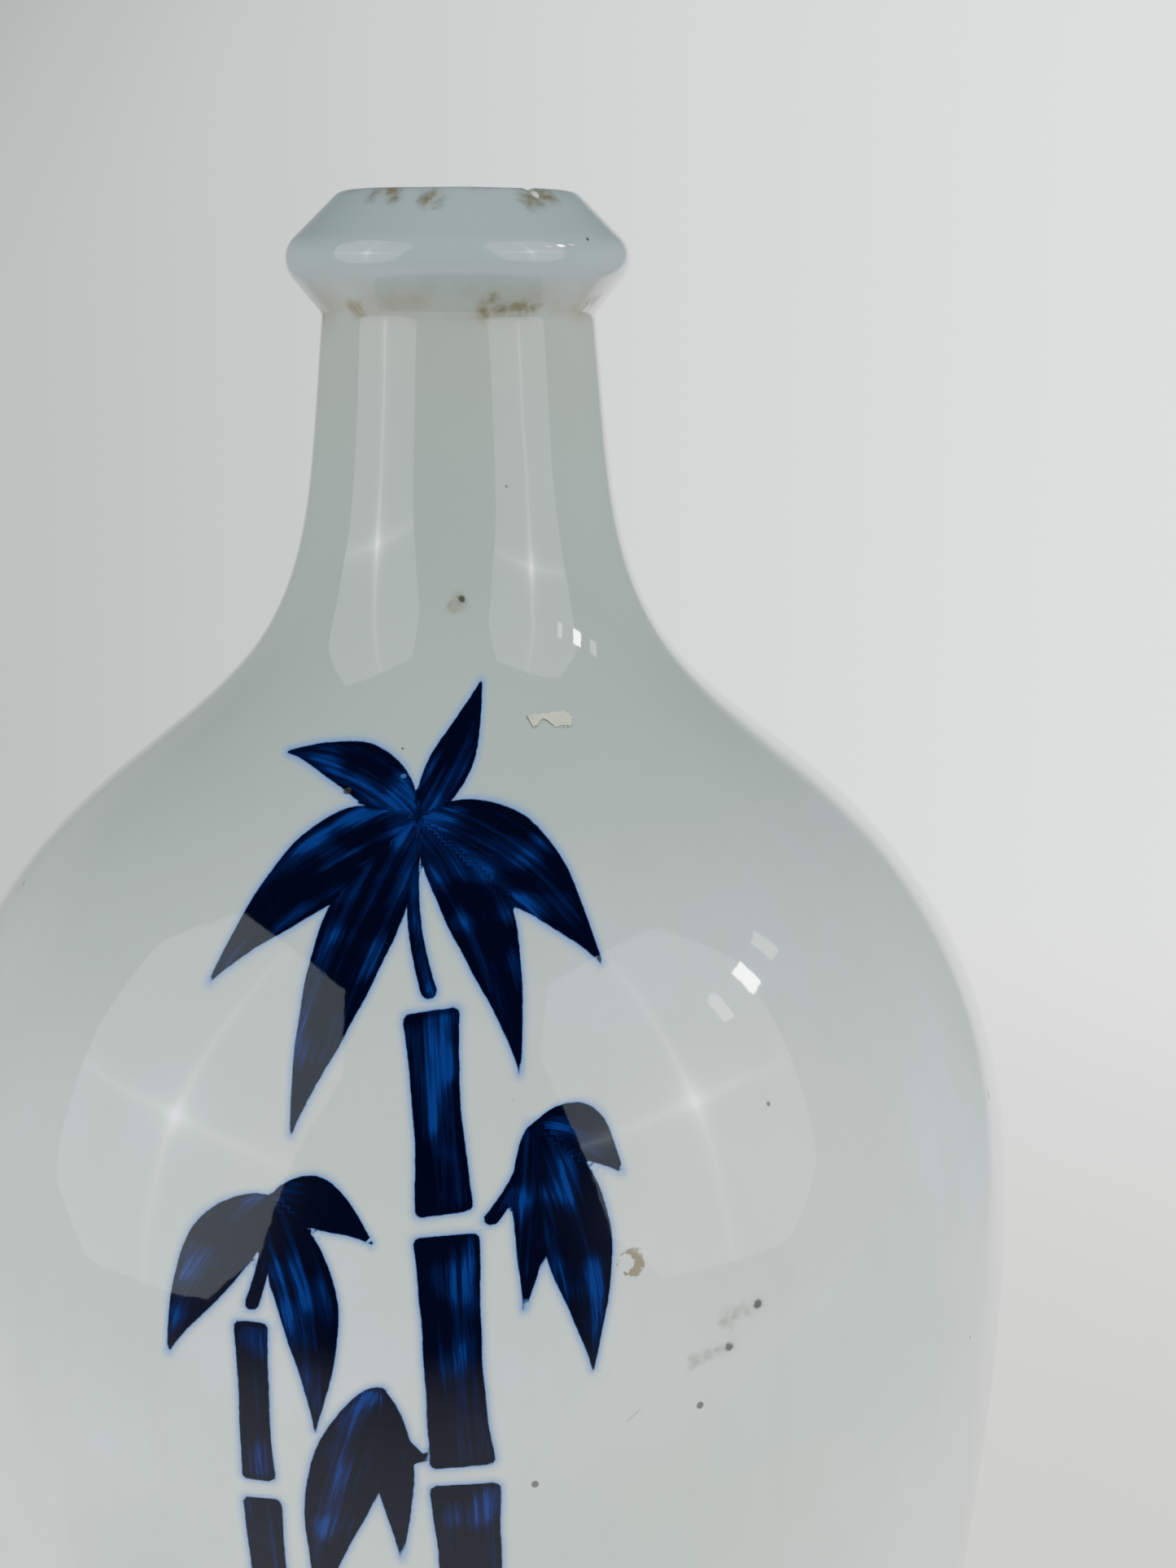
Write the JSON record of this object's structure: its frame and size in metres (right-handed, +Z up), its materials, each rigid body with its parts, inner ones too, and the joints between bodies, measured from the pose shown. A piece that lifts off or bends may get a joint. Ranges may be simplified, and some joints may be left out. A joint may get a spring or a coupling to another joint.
{
  "type": "sake bottle",
  "caption": "Glazed porcelain sake bottle with a round shoulder, narrow neck, thick bevelled lip and a painted bamboo spray.",
  "frame": {"origin": "centre of the foot, on the plane that the bottle stands on", "axes": "+Z up along the bottle's axis, -Y towards the painted front, +X to the right as seen from the front"},
  "size_m": [0.1448, 0.1448, 0.257],
  "materials": {
    "porcelain_clay": "bare fired porcelain clay, matt and slightly gritty",
    "clear_glaze": "glossy pale blue-grey glaze with fine pits and specks",
    "inner_glaze": "glossy grey-white glaze, thinner and duller than outside",
    "cobalt_glaze": "glossy glaze over brushed cobalt blue, near black where it pooled",
    "old_paper": "matt, yellowed and torn"
  },
  "bodies": {
    "root": {"lower_body": "porcelain_clay", "upper_body": "porcelain_clay", "neck": "porcelain_clay", "lip_collar": "porcelain_clay", "outer_glaze": "clear_glaze", "inner_glaze": "inner_glaze", "base_glaze": "clear_glaze", "cobalt_painting": "cobalt_glaze", "label_scrap": "old_paper"}
  },
  "joints": []
}
